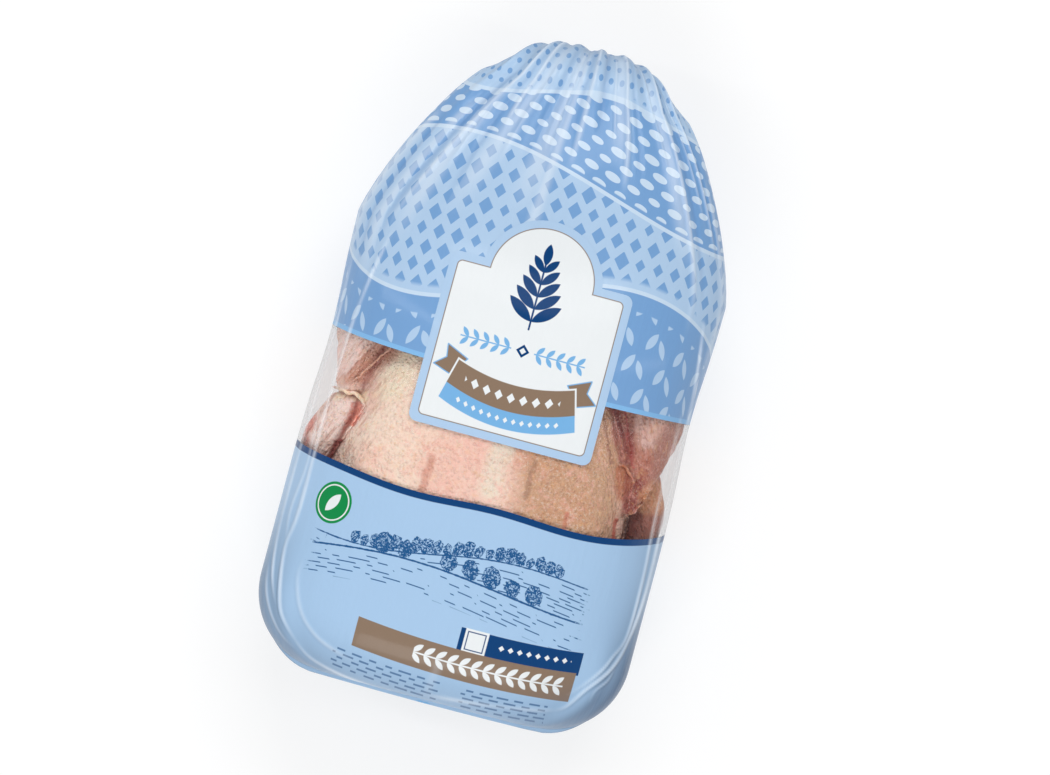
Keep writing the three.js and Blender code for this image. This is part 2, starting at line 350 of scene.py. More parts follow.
def skin(station, angle, extra=0.0):
    """Points of the bag at stations and angles: 0 is the right side, a quarter turn the front's middle."""
    s = section(station)
    c, sine = np.cos(angle), np.sin(angle)
    front = sine >= 0
    power = np.where(front, s["front_power"], s["back_power"])
    reach = np.where(front, s["above"], s["below"])
    stretch = (np.abs(c) ** power + np.abs(sine) ** power) ** (-1 / power)
    x = s["half"] * stretch * c
    up = reach * stretch * sine
    degrees = np.degrees(angle)
    inside = mix(1, PLEAT_INSIDE_FOLD, clamp01(-3 * sine) * smooth(0, 0.5, s["lean"] / FOLD_ANGLE))
    lift = pleat_lift(degrees, station) * inside * clamp01(s["half"] / 4)
    lift = lift + bird_lift(x, station, sine) * s["face"] + crease_lift(degrees, s) + extra
    lift = lift + long_creases(degrees, station)[0] + side_creases(x, s["y"], sine)
    out_x, out_up = c / np.maximum(s["half"], 1), sine / np.maximum(reach, 1)
    length = np.hypot(out_x, out_up)
    up_out = up + out_up / length * lift
    seal = SEAL_HEIGHT * (1 - smooth(0, SEAL_REACH, station - SEALED_END_Y))
    y = s["y"] + up_out * np.sin(s["lean"]) - seal * (1 - smooth(0, SEAL_HEIGHT, np.abs(up)))
    z = s["z"] + up_out * np.cos(s["lean"])
    return np.stack([x + out_x / length * lift, y, np.maximum(z, 0)], axis=-1)


# Meshes
def placed(name, data):
    obj = bpy.data.objects.new(name, data)
    bpy.context.scene.collection.objects.link(obj)
    return obj


def new_object(name, points, faces, material):
    mesh = bpy.data.meshes.new(name)
    mesh.from_pydata((np.asarray(points).reshape(-1, 3) * MM).tolist(), [], faces)
    mesh.update()
    mesh.polygons.foreach_set("use_smooth", [True] * len(mesh.polygons))
    mesh.materials.append(material)
    return placed(name, mesh)


def grid_faces(rows, columns):
    """Quads of a grid whose columns close in a ring."""
    r, c = np.meshgrid(np.arange(rows - 1), np.arange(columns), indexing="ij")
    after = (c + 1) % columns
    quads = [r * columns + c, (r + 1) * columns + c, (r + 1) * columns + after, r * columns + after]
    return np.stack(quads, axis=-1).reshape(-1, 4).tolist()


# Print coordinates: across the bag from the middle of the front, and along it
def print_places(points, stations):
    """For a grid of skin, the arc from the front's middle line, signed like x, and the place along."""
    columns = points.shape[1]
    middle = columns // 4
    rolled = np.roll(points, -middle, axis=1)
    steps = np.linalg.norm(np.diff(rolled, axis=1, append=rolled[:, :1]), axis=2)
    left = np.concatenate([np.zeros((len(points), 1)), np.cumsum(steps, axis=1)[:, :-1]], axis=1)
    total = steps.sum(axis=1, keepdims=True)
    across = np.roll(np.where(left < total / 2, -left, total - left), middle, axis=1)
    along = np.where((stations > SEALED_END_Y) & (stations < FOLD_START_Y), points[:, :, 1], stations)
    return across, along


def set_vectors(obj, name, *parts):
    """Keeps three numbers for each point, for the materials to read."""
    layer = obj.data.attributes.new(name, "FLOAT_VECTOR", "POINT")
    values = np.stack(np.broadcast_arrays(*parts), axis=-1)
    layer.data.foreach_set("vector", values.astype(np.float32).reshape(-1))


# Where the print ends above and below the clear band, by the angle round the bag
WINDOW_TOP_Y = -2.8
WINDOW_TOP_LIFT = (3.4, 1.2)
WINDOW_BOTTOM_Y = -51.7
WINDOW_SAG = 7.3
WINDOW_WAVE = 0.9
WAVE_START_X = 27.0
WAVE_LENGTH = 74.0


def window_top(angle):
    both, lean = WINDOW_TOP_LIFT
    return WINDOW_TOP_Y + (both - lean * np.cos(angle)) * np.abs(np.cos(angle)) ** 3


def window_bottom(angle):
    turn = (SIDE_HALF_WIDTH * np.cos(angle) + WAVE_START_X) / WAVE_LENGTH * 2 * math.pi
    return WINDOW_BOTTOM_Y - WINDOW_SAG * (1 - np.cos(angle) ** 4) - WINDOW_WAVE * np.cos(turn)


# Noise worked out in numpy, the same on every run
SCATTER = (374761393, 668265263, 2147483647, 1274126177)


def hashed(*corner_and_seed):
    """A fixed number from 0 to 1 for each corner of a lattice and a seed."""
    n = sum(part * factor for part, factor in zip(corner_and_seed, SCATTER)) & 0xFFFFFFFF
    n = ((n ^ (n >> 13)) * 1103515245) & 0xFFFFFFFF
    n = ((n ^ (n >> 16)) * 2246822519) & 0xFFFFFFFF
    return ((n ^ (n >> 15)) & 0xFFFFFF) / float(0xFFFFFF)


def noise(points, size, seed=0):
    """Smooth noise from -1 to 1 at points, with features of this size."""
    p = points / size
    base = np.floor(p).astype(np.int64)
    f = p - base
    f = f * f * (3 - 2 * f)
    total = np.zeros(p.shape[:-1])
    for corner in np.ndindex(2, 2, 2):
        weight = np.abs(1 - np.array(corner) - f).prod(axis=-1)
        total += weight * hashed(*np.moveaxis(base + corner, -1, 0), seed)
    return total * 2 - 1


# Materials: shapes and patterns are numbers over the surface, worked out by Math nodes
def srgb(r, g, b):
    """A colour read as 0 to 255 on screen, as the light that shaders work in."""
    channels = [c / 255 for c in (r, g, b)]
    return tuple(c / 12.92 if c <= 0.04045 else ((c + 0.055) / 1.055) ** 2.4 for c in channels)


class Field:
    """A number, colour or vector over a surface, or a shader."""

    def __init__(self, sketch, socket):
        self.sketch = sketch
        self.socket = socket

    def __add__(self, other):
        return self.sketch.math("ADD", self, other)

    def __sub__(self, other):
        return self.sketch.math("SUBTRACT", self, other)

    def __rsub__(self, other):
        return self.sketch.math("SUBTRACT", other, self)

    def __mul__(self, other):
        return self.sketch.math("MULTIPLY", self, other)

    def __truediv__(self, other):
        return self.sketch.math("DIVIDE", self, other)

    def __pow__(self, other):
        return self.sketch.math("POWER", self, other)

    def __abs__(self):
        return self.sketch.math("ABSOLUTE", self)

    __radd__ = __add__
    __rmul__ = __mul__


class Sketch:
    """One material, built node by node. Its colour is laid on in coats, the last one on top."""

    def __init__(self, name, colour=None):
        self.material = bpy.data.materials.new(name)
        self.material.use_nodes = True
        self.nodes = self.material.node_tree.nodes
        self.shader = self.nodes["Principled BSDF"]
        self.colour = colour

    def plug(self, socket, value):
        if isinstance(value, Field):
            self.material.node_tree.links.new(value.socket, socket)
        elif isinstance(value, tuple):
            socket.default_value = (*value, 1) if len(socket.default_value) == 4 else value
        else:
            socket.default_value = value

    def fill_in(self, node, named):
        """Sets a node's inputs by their names, with _ for each space."""
        for name, value in named.items():
            self.plug(node.inputs[name.replace("_", " ")], value)

    def made(self, kind, *values, out=0, **named):
        """A new node's output. Its inputs are set in their order or by name."""
        node = self.nodes.new(kind)
        for socket, value in zip(node.inputs, values):
            self.plug(socket, value)
        self.fill_in(node, named)
        return Field(self, node.outputs[out])

    def finish(self, **named):
        """The material, once its shader's inputs are set by name."""
        self.fill_in(self.shader, named)
        return self.material

    def math(self, operation, *values):
        field = self.made("ShaderNodeMath", *values)
        field.socket.node.operation = operation
        return field

    def least(self, *values):
        return reduce(lambda a, b: self.math("MINIMUM", a, b), values)

    def most(self, *values):
        return reduce(lambda a, b: self.math("MAXIMUM", a, b), values)

    def size(self, x, y):
        return self.math("SQRT", x * x + y * y)

    def clamp(self, value):
        return self.least(self.most(value, 0.0), 1.0)

    def wave(self, x, pace, start, height, middle):
        return self.math("SINE", x * pace + start) * height + middle

    def smooth(self, start, end, value):
        field = self.made("ShaderNodeMapRange", Value=value, From_Min=start, From_Max=end)
        field.socket.node.interpolation_type = "SMOOTHSTEP"
        return field

    def vector(self, x, y, z=0.0):
        return self.made("ShaderNodeCombineXYZ", x, y, z)

    def attribute(self, name):
        """The three numbers that each point keeps under this name."""
        field = self.made("ShaderNodeAttribute", out="Vector")
        field.socket.node.attribute_name = name
        split = self.made("ShaderNodeSeparateXYZ", field)
        return [Field(self, socket) for socket in split.socket.node.outputs]

    def noise(self, place, scale, detail, roughness=0.5, warp=0.0):
        named = {"Scale": scale, "Detail": detail, "Roughness": roughness, "Distortion": warp}
        return self.made("ShaderNodeTexNoise", Vector=place, **named)

    def cells(self, place, scale):
        return self.made("ShaderNodeTexVoronoi", out="Distance", Vector=place, Scale=scale)

    def chance(self, x, y, salt=0.0):
        """An even random number for each whole x and y."""
        return self.made("ShaderNodeTexWhiteNoise", out="Value", Vector=self.vector(x, y, salt))

    def blend(self, share, a, b):
        node = self.nodes.new("ShaderNodeMix")
        node.data_type = "RGBA"
        for index, value in ((0, share), (6, a), (7, b)):
            self.plug(node.inputs[index], value)
        return Field(self, node.outputs[2])

    def bump(self, height, distance, strength=1.0, under=None):
        named = {"Height": height, "Distance": distance * MM, "Strength": strength}
        if under:
            named["Normal"] = under
        return self.made("ShaderNodeBump", **named)

    # Flat shapes: below 0 inside, in millimetres
    def fill(self, shape, edge=0.12):
        return self.clamp(0.5 - shape / (2 * edge))

    def lay(self, share, tint):
        self.colour = self.blend(share, self.colour, tint)

    def paint(self, shape, tint):
        self.lay(self.fill(shape), tint)

    def circle(self, x, y, cx, cy, r):
        return self.size(x - cx, y - cy) - r

    def box(self, x, y, cx, cy, half_wide, half_high, r=0.0):
        out_x = abs(x - cx) - (half_wide - r)
        out_y = abs(y - cy) - (half_high - r)
        outside = self.size(self.most(out_x, 0.0), self.most(out_y, 0.0))
        return outside + self.least(self.most(out_x, out_y), 0.0) - r

    def convex(self, x, y, corners):
        """A shape with straight edges, its corners named counterclockwise."""
        sides = []
        for (ax, ay), (bx, by) in zip(corners, corners[1:] + corners[:1]):
            length = math.hypot(bx - ax, by - ay)
            nx, ny = (by - ay) / length, (ax - bx) / length
            sides.append(x * nx + y * ny - (ax * nx + ay * ny))
        return self.most(*sides)

    def leaf(self, x, y, cx, cy, turn, half_long, half_wide):
        """A pointed leaf whose length lies at an angle in degrees from the x axis."""
        along, across = turned(x, y, cx, cy, math.cos(math.radians(turn)), math.sin(math.radians(turn)))
        r = (half_long**2 + half_wide**2) / (2 * half_wide)
        return self.size(along, abs(across) + (r - half_wide)) - r

    def stroke(self, x, y, ax, ay, bx, by, half_wide):
        along, across, long = beside(x, y, ax, ay, bx, by)
        return self.size(along - self.least(self.most(along, 0.0), long), across) - half_wide

    def repeat(self, x, wide):
        """The place from the middle of each repeat along x, and the repeat's number."""
        number = self.math("FLOOR", x / wide)
        return x - (number + 0.5) * wide, number

    def tiles(self, x, y, wide, high):
        """Places within staggered tiles, from their middles, and each tile's column and row."""
        ty, row = self.repeat(y, high)
        tx, column = self.repeat(x + self.math("PINGPONG", row, 1.0) * (wide / 2), wide)
        return tx, ty, column, row


LIGHT_BLUE = srgb(176, 204, 233)
LOWER_BLUE = srgb(168, 200, 232)
MID_BLUE = srgb(118, 162, 211)
PALE_BLUE = srgb(200, 220, 240)
LINE_BLUE = srgb(132, 186, 232)
NAVY = srgb(0, 62, 118)
INK_BLUE = srgb(28, 86, 140)
LABEL_WHITE = srgb(234, 238, 240)
BROWN = srgb(140, 118, 99)
OUTLINE_BROWN = srgb(140, 122, 112)
RIBBON_BLUE = srgb(120, 178, 226)
GREEN = srgb(4, 138, 70)
# Painted highlight along the film's creases
CREASE_SHEEN = srgb(232, 241, 251)
# Painted shade in the film's pleat troughs
TROUGH_SHADE = srgb(92, 134, 188)
# Painted shade on the film's steep sides and lower corners
SIDE_SHADE = srgb(66, 100, 136)
SEAM_HALF = 5.0


def film_bumps(k, x, y, long, fine, share, depth, strength):
    """Long creases with a fine ripple over them. Each has its pace across and along."""
    creases = k.noise(k.vector(x * long[0], y * long[1], 3.0), 1.0, 4.0, 0.55)
    ripple = k.noise(k.vector(x * fine[0], y * fine[1], 7.0), 1.0, 3.0, 0.6)
    return k.bump(creases + ripple * share, depth, strength)


def film_gloss_and_painted_light(k, x, y, shade, gloss=1.0):
    """The gloss of thin printed film, with painted shade on its steep sides and in its pleats' troughs, and
    painted highlights along its creases.
    """
    white, _, steep = k.attribute("crease")
    # Painted shade where the film turns steeply away from facing up
    k.lay(steep * shade, SIDE_SHADE)
    # Painted shade in the pleats' troughs
    k.lay(k.clamp(0 - white) * 0.55, TROUGH_SHADE)
    # Painted highlight along the pleats and side creases
    k.lay(k.clamp(white * 0.75), CREASE_SHEEN)
    return k.finish(
        Base_Color=k.colour,
        Roughness=0.4,
        Specular_IOR_Level=0.12 * gloss,
        Coat_Weight=0.22 * gloss,
        Coat_Roughness=0.12,
        Normal=film_bumps(k, x, y, (0.16, 0.02), (0.5, 0.3), 0.12, 1.2, 0.5),
    )


def edge_line(k, from_edge, wide, tint):
    """A line where the print meets the clear band, and the seam's plain band down the back."""
    k.paint(from_edge - wide, tint)
    _, seam, _ = k.attribute("crease")
    k.paint(seam - SEAM_HALF, LINE_BLUE)


# Waves that end the upper print's three lower bands: pace, start, height and middle along the bag
BAND_WAVES = ((0.031, 0.2, 13, 37), (0.024, 2.6, 13, 88), (0.05, 1.0, 5, 126))
BAND_EDGE_HALF = 0.9
TOP_LINE = 2.1


def upper_print():
    """Wavy bands of light and mid blue, each with its own small motif."""
    k = Sketch("upper_print")
    x, y, above = k.attribute("print")
    first, second, third = (k.wave(x, *wave) for wave in BAND_WAVES)

    tx, ty, *_ = k.tiles(x, y - first, 17.5, 12.5)
    pair = k.least(k.leaf(tx, ty, -3.2, 0.3, 62, 5.0, 1.9), k.leaf(tx, ty, 3.0, -1.1, 118, 4.3, 1.7))
    k.colour = k.blend(k.fill(pair) * k.fill(y - first + 8.5, 0.3), MID_BLUE, LIGHT_BLUE)

    tx, ty, column, row = k.tiles(x, y, 8.6, 8.2)
    diamond = abs(tx) * 0.95 + abs(ty) * 0.75 - (2.1 + k.chance(column, row) * 1.2)
    inside = k.fill(diamond) * k.fill(first - y + 4, 1.0)
    k.paint(first - y, k.blend(inside, LIGHT_BLUE, MID_BLUE))

    tx, ty, column, row = k.tiles(x, y - second, 10.5, 5.6)
    seed = k.size(tx, k.most(abs(ty) * 2.2 - 0.4, 0.0)) - (2.6 + k.chance(column, row) * 1.2)
    inside = k.fill(seed) * k.fill(second - y + 2.4, 0.3)
    k.paint(second - y, k.blend(inside, MID_BLUE, PALE_BLUE))

    tx, ty, *_ = k.tiles(x, y, 5.2, 4.6)
    inside = k.fill(k.circle(tx, ty, 0, 0, 1.1)) * k.fill(third - y + 2, 0.5)
    k.paint(third - y, k.blend(inside, LIGHT_BLUE, MID_BLUE))
    for edge in (first, second, third):
        k.paint(abs(y - edge) - BAND_EDGE_HALF, PALE_BLUE)

    edge_line(k, above, TOP_LINE, LINE_BLUE)
    # Painted shade on the film's steep parts, heaviest near the gathered end's crest and on the right side
    right = k.smooth(30.0, 80.0, x) * k.smooth(126.0, 100.0, y) * (1 - k.smooth(96.0, 140.0, abs(x)))
    shade = k.smooth(112.0, 150.0, y) * 0.4 + right * 0.22 + 0.08
    return film_gloss_and_painted_light(k, x, y, shade)


# The lower print's places across and along the front
HILL_FADE_X = 70.0
TREE_FOOT = 0.8
BAR_Y = -117.6
SQUARE_X = 15.4
BANNER_Y = -129.2
DASHES_Y = -143.2
DASH_BLOCKS = ((-20, 25), (35, 20))
DISC = (-63.5, -74.4)
DISC_R = 9.4
BOTTOM_LINE = 2.9
CURVE_X = 13.0
CURVE = 0.0011


def meadow(k, x, y):
    """Two hills drawn in ink: their lines, short strokes of grass and rows of round trees."""
    far_hill = k.wave(x, 0.052, 0.6, 2.6, 0) + k.wave(x, 0.021, 0, 3, -84)
    near_hill = k.wave(x, 0.034, 2.4, 4.2, -94)
    rough = k.noise(k.vector(x * 0.5, y * 0.5), 1.0, 2.0)
    leafy = k.noise(k.vector(x, y, 2.0), 1.3, 3.0, 0.7)
    field = k.fill(abs(x + 4) - HILL_FADE_X + rough * 14, 1.5)
    for hill, wide in ((far_hill, 0.3), (near_hill, 0.4)):
        line = abs(y - hill) - (rough * 0.7 + wide - 0.35)
        k.lay(k.fill(line) * field, INK_BLUE)
    for hill, gap, low_y in ((far_hill, 1.5, near_hill), (near_hill, 1.9, near_hill - 14)):
        tx, ty, column, row = k.tiles(x, y - hill, 11.0, gap)
        long = k.chance(column, row, gap) * 6.5 - 1.6
        grass = k.most(abs(tx + ty) - long, abs(ty + tx * 0.03) - 0.24)
        below = k.fill(y - hill + 1.6, 0.5) * k.fill(low_y - y, 0.5) * field
        k.lay(k.fill(grass, 0.1) * below, INK_BLUE)
    far_trees, near_trees = (far_hill, 4.6, 1.5, 0.85, 52), (near_hill, 10.0, 2.4, 0.6, 60)
    for hill, wide, least_r, share, reach in (far_trees, near_trees):
        tx, column = k.repeat(x, wide)
        up = y - hill - TREE_FOOT
        grown = least_r + k.chance(column, wide) * 1.7
        crown = k.size(tx, (up - grown) * 0.86) - grown + (rough - 0.5) * 2.6
        trunk = k.most(abs(tx) - 0.25, abs(up) - 1.1)
        tree = k.fill(crown) * k.clamp(k.fill(leafy - 0.54, 0.02) + 0.1) + k.fill(abs(crown) - 0.1)
        stands = k.fill(k.chance(column, wide, 8.0) - share, 0.01) * k.fill(abs(x + 2) - reach, 0.5)
        stands = stands * k.math("GREATER_THAN", y - hill, 0.0)
        k.lay(k.clamp(tree + k.fill(trunk)) * stands, INK_BLUE)


def lower_print():
    """Light blue with a navy edge, a drawn meadow, a bar, a banner, dashes and a green disc."""
    k = Sketch("lower_print", LOWER_BLUE)
    x, y, below = k.attribute("print")
    meadow(k, x, y)

    level = y - (x - CURVE_X) * (x - CURVE_X) * CURVE
    k.paint(k.box(x, level + x * 0.012, 36.5, BAR_Y, 28.5, 5.2), NAVY)
    square = k.box(x, level, SQUARE_X, BAR_Y, 5.3, 5.3)
    k.paint(square, LABEL_WHITE)
    k.paint(abs(square + 1.3) - 0.25, NAVY)
    k.paint(k.box(x, level, 13.3, BANNER_Y, 50.6, 6.7), BROWN)
    up = abs(level - BANNER_Y)
    vine = k.least(k.leaf(k.repeat(x, 5.4)[0], up, -0.2, 2.2, 42, 2.9, 1.2), up - 0.35)
    k.paint(k.most(vine, abs(x - 24.5) - 34.5), LABEL_WHITE)
    beads = abs(k.repeat(x, 4.2)[0]) + abs(level - BAR_Y) - 1.3
    k.paint(k.most(beads, abs(x - 42.5) - 17.5), LABEL_WHITE)

    tx, ty, column, row = k.tiles(x, level, 7.5, 1.95)
    dash = k.most(abs(tx) - (k.chance(column, row) * 1.7 + 1.3), abs(ty) - 0.42)
    blocks = k.least(*(k.box(x, level, cx, DASHES_Y, half, 4.9) for cx, half in DASH_BLOCKS))
    k.lay(k.fill(dash) * k.fill(blocks, 0.05) * 0.75, INK_BLUE)

    disc = k.circle(x, y, *DISC, DISC_R)
    k.paint(disc, GREEN)
    k.paint(k.least(abs(disc + 1.5) - 0.3, k.leaf(x, y, *DISC, 55, 5.2, 2.3)), LABEL_WHITE)

    edge_line(k, below, BOTTOM_LINE, NAVY)
    # Painted shade on the film's steep parts, heaviest towards the bottom corners and on the right side,
    # lighter on the sealed end's face
    aside = abs(x)
    low = k.smooth(-66.0, -126.0, y) * (1 - k.smooth(-152.0, -164.0, y) * 0.55)
    right = k.smooth(20.0, 78.0, x) * k.smooth(-150.0, -128.0, y) * (1 - k.smooth(96.0, 146.0, aside))
    shade = low * (k.smooth(24.0, 70.0, aside) * 0.45 + 0.25) + right * 0.4 + 0.1
    return film_gloss_and_painted_light(k, x, y, shade)


def clear_film():
    """Clear film: mostly see-through, with gloss that grows towards its edges, a faint haze on its steep
    underside and a painted highlight of white haze along its creases.
    """
    k = Sketch("clear_film")
    x, y, _ = k.attribute("print")
    white, _, steep = k.attribute("crease")
    normal = film_bumps(k, x, y, (0.12, 0.02), (0.4, 0.25), 0.2, 0.5, 0.6)
    clear = k.made("ShaderNodeBsdfTransparent", Color=(0.985, 0.99, 0.995))
    haze = k.made("ShaderNodeBsdfDiffuse", Color=(0.97, 0.98, 1.0))
    gloss = k.made("ShaderNodeBsdfGlossy", Roughness=0.14, Normal=normal)
    grazing = k.made("ShaderNodeLayerWeight", out="Facing", Normal=normal) ** 5.0
    # White haze along the creases is a painted highlight; the steep underside gets a plain haze
    sheen_and_haze = k.clamp(white) * 0.5 + k.smooth(0.95, 1.0, steep) * 0.3
    film = k.made("ShaderNodeMixShader", sheen_and_haze, clear, haze)
    film = k.made("ShaderNodeMixShader", grazing * 0.7 + 0.03, film, gloss)
    k.plug(k.nodes["Material Output"].inputs["Surface"], film)
    k.nodes.remove(k.shader)
    return k.material


# The label's outline in millimetres across and along the front
LABEL_LEFT = -35.4
LABEL_RIGHT = 40.2
LABEL_BOTTOM = -26.6
LABEL_SHOULDER = 43.8
ARCH_X = 2.4
ARCH_R = 23.4
LABEL_CORNER_R = 2.4
HALO = 3.5
LABEL_LINE = 0.45
SPRIG_PAIRS = 5
GARLAND_Y = 11.6
RIBBON_X = 2.7
# Rows of diamonds on the ribbons: how far down, repeat, height and reach to each side
RIBBON_ROWS = ((9.7, 5.6, 2.3, 21.5), (19.6, 3.7, 1.3, 24.5))


def label_print():
    """A plain white plaque with an arched top, a sprig, a garland, and a brown and a blue ribbon."""
    k = Sketch("label_print", LIGHT_BLUE)
    x, y, _ = k.attribute("print")
    middle = ((LABEL_LEFT + LABEL_RIGHT) / 2, (LABEL_BOTTOM + LABEL_SHOULDER) / 2)
    half = ((LABEL_RIGHT - LABEL_LEFT) / 2, (LABEL_SHOULDER - LABEL_BOTTOM) / 2)
    plaque = k.box(x, y, *middle, *half, LABEL_CORNER_R)
    plaque = k.least(plaque, k.circle(x, y, ARCH_X, LABEL_SHOULDER, ARCH_R))
    k.paint(plaque, OUTLINE_BROWN)
    k.paint(plaque + LABEL_LINE, LABEL_WHITE)

    tip = k.leaf(x, y, ARCH_X, 55.5, 90, 5.0, 2.0)
    sprig = k.least(k.stroke(x, y, ARCH_X, 21.5, ARCH_X, 52, 0.42), tip)
    for i in range(SPRIG_PAIRS):
        long, lean = 7.4 - 0.75 * i, 52 - 3 * i
        leaf_y = 25.0 + 5.6 * i + long * math.cos(math.radians(lean))
        for side in (-1, 1):
            leaf_x = ARCH_X + side * long * math.sin(math.radians(lean))
            sprig = k.least(sprig, k.leaf(x, y, leaf_x, leaf_y, 90 - side * lean, long, 2.5 - 0.2 * i))
    k.paint(sprig, NAVY)
    aside = abs(x - ARCH_X)
    up = abs(y - GARLAND_Y)
    pair = k.leaf(k.repeat(aside - 5.2, 4.6)[0], up, 0.2, 2.0, 52, 2.5, 1.0)
    k.paint(k.most(k.least(up - 0.3, pair), aside - 28.2, 5.2 - aside), RIBBON_BLUE)
    gem = aside + up - 3.0
    k.paint(gem, NAVY)
    k.paint(gem + 1.5, LABEL_WHITE)

    aside = abs(x - RIBBON_X)
    bow = aside * aside * (5.8 / 29**2)
    sides = aside - (26.5 - y * 0.26)
    up = y - bow
    band = k.most(up + 3.8, -15.7 - up, sides)
    under = k.most(up + 15.5, -23.6 - up, sides)
    tail = k.convex(aside, y, [(23.0, 2.0), (28.9, -5.9), (36.4, -3.3), (32.4, 6.2)])
    bite = k.convex(aside, y, [(31.6, 0.7), (41.2, -7.3), (33.2, 11.7)])
    tail = k.most(tail, 0 - bite)
    k.paint(tail - 0.5, RIBBON_BLUE)
    k.paint(tail, BROWN)
    k.paint(k.least(band, under) - 0.8, LABEL_WHITE)
    k.paint(under, RIBBON_BLUE)
    k.paint(band, BROWN)
    for down, wide, tall, reach in RIBBON_ROWS:
        diamonds = abs(k.repeat(aside + wide / 2, wide)[0]) * 1.25 + abs(up + down) - tall
        k.paint(k.most(diamonds, aside - reach), LABEL_WHITE)
    return film_gloss_and_painted_light(k, x, y, 0.0, 0.4)


# Tints of the skin seen from the front, some of them painted shadow and shade in creases and under the
# limbs: from and to, half width, blur, strength, colour
SKIN_TINTS_AND_SHADE = (
    (-34, 0, -44, -60, 14, 16, 0.45, (253, 236, 212)),
    (-8, -10, -12, -70, 10, 14, 0.5, (246, 190, 172)),
    (5, -30, 4, -52, 2, 6, 0.6, (240, 236, 214)),
    (-46, -6, -50, -18, 3, 8, 0.6, (246, 232, 200)),
    (34, -10, 40, -60, 16, 16, 0.85, (196, 144, 102)),
    (-66, 6, -70, -18, 8, 8, 0.75, (242, 212, 204)),
    (-50, 4, -69, -24, 2.6, 4, 0.8, (204, 134, 102)),
    (-66, -30, -78, -58, 6, 6, 0.9, (255, 228, 218)),
    (-61.5, -29.5, -63.5, -38, 1.6, 2.0, 0.85, (232, 112, 84)),
    (-64, -38, -66, -50, 0.5, 2.2, 0.5, (204, 130, 108)),
    (-80.5, -42, -82.5, -54, 1.2, 2.2, 0.85, (230, 112, 88)),
    (-60, -24, -72, -28, 1.0, 2, 0.8, (252, 226, 190)),
    (66, 8, 67, -22, 9, 5, 0.75, (206, 146, 128)),
    (61, 4, 64, -14, 2.4, 4, 0.75, (238, 196, 186)),
    # Painted shade in the right thigh's crease, over the skin's red
    (46, 4, 59, -22, 2.6, 3.5, 0.9, (164, 78, 68)),
    # Darker red underside of the right thigh, partly painted shade
    (80, 0, 72, -26, 3.5, 5, 0.9, (156, 74, 50)),
    (65, -23, 69, -30, 4.5, 4, 0.75, (176, 92, 70)),
    (58, -29, 63, -39, 2.0, 2.4, 0.9, (190, 106, 62)),
    (66.6, -31, 66.8, -43, 2.0, 2.2, 0.95, (140, 42, 34)),
    (77, -36, 80, -62, 6, 4, 0.9, (192, 122, 66)),
    # Painted shadow beside the breast's right edge
    (69.5, -47, 70.5, -62, 1.8, 3, 0.95, (100, 42, 36)),
)
# Thin marks drawn over the skin's grain, as above; some are painted shade in a crease and at the edge of a
# painted shadow
SKIN_MARKS_AND_SHADE = (
    (20, -33, 20, -50, 0.4, 1.4, 0.45, (150, 102, 74)),
    (-24, -44, -25, -62, 0.6, 2.2, 0.5, (206, 118, 92)),
    (-62, -32, -65, -42, 0.2, 0.9, 0.45, (196, 84, 64)),
    (-66, -48, -70, -62, 0.5, 1.5, 0.95, (138, 46, 38)),
    # Dark red lines in the right thigh's crease: the skin's red, deepened as painted shade
    (47, 0, 58, -19, 0.3, 1.1, 0.8, (134, 40, 38)),
    (52, 0, 61, -21, 0.2, 0.9, 0.6, (178, 58, 58)),
    (43, -4, 53, -26, 0.2, 0.9, 0.5, (128, 56, 44)),
    (56, -12, 63, -25, 0.2, 0.9, 0.5, (190, 66, 66)),
    (61.7, -50, 62.6, -62, 0.4, 1.3, 0.8, (204, 76, 58)),
    # The dark edge of the painted shadow beside the breast's right edge
    (67, -47, 68.6, -62, 0.3, 1.2, 0.9, (74, 30, 28)),
    (40, -52, 40, -62, 0.4, 1.4, 0.4, (206, 86, 66)),
    (-56, 0, -66, -18, 0.2, 0.9, 0.6, (168, 92, 68)),
    (-52, 0, -62, -16, 0.2, 0.9, 0.5, (176, 98, 74)),
    (-60, 0, -70, -18, 0.2, 0.9, 0.5, (176, 98, 78)),
)
SKIN_BASE = srgb(255, 216, 198)
SKIN_PINK = srgb(250, 186, 170)
SKIN_LIGHT = srgb(255, 247, 232)
SKIN_DARK = srgb(196, 124, 94)
SKIN_OCHRE = srgb(238, 182, 122)
FOLD_SHADE_RED = srgb(138, 56, 44)
CREASES_ABOVE_Z = 40.0
LIMB_COS = 0.91
LIMB_SIN = 0.41

# Creases pressed into the skin of the front: from and to, half width, depth
SKIN_CREASES = (
    (20, -33, 21, -50, 1.3, 0.9),
    (-24, -44, -25, -62, 1.5, 0.7),
    (40, -52, 40, -62, 1.0, 0.5),
    (64, -48, 65, -60, 1.1, 0.9),
    (26, -40, 46, -38, 1.2, 0.5),
    (46, 0, 58, -22, 1.0, 0.9),
    (51, 0, 61, -26, 1.0, 0.7),
    (-57, 0, -69, -20, 1.2, 0.7),
    (-52, 0, -66, -22, 1.0, 0.7),
    (-71, -32, -79, -58, 1.2, 0.5),
)


def by_limb(x, y):
    """Places across and along the limbs, which lie at a slant on either side."""
    return abs(x) * LIMB_COS + y * LIMB_SIN, abs(x) * LIMB_SIN - y * LIMB_COS


def tint_along(k, tints, x, y):
    for from_x, from_y, to_x, to_y, half_wide, blur, share, tint in tints:
        off = k.stroke(x, y, from_x, from_y, to_x, to_y, half_wide)
        k.lay((1 - k.smooth(0.0, blur, off)) * share, srgb(*tint))


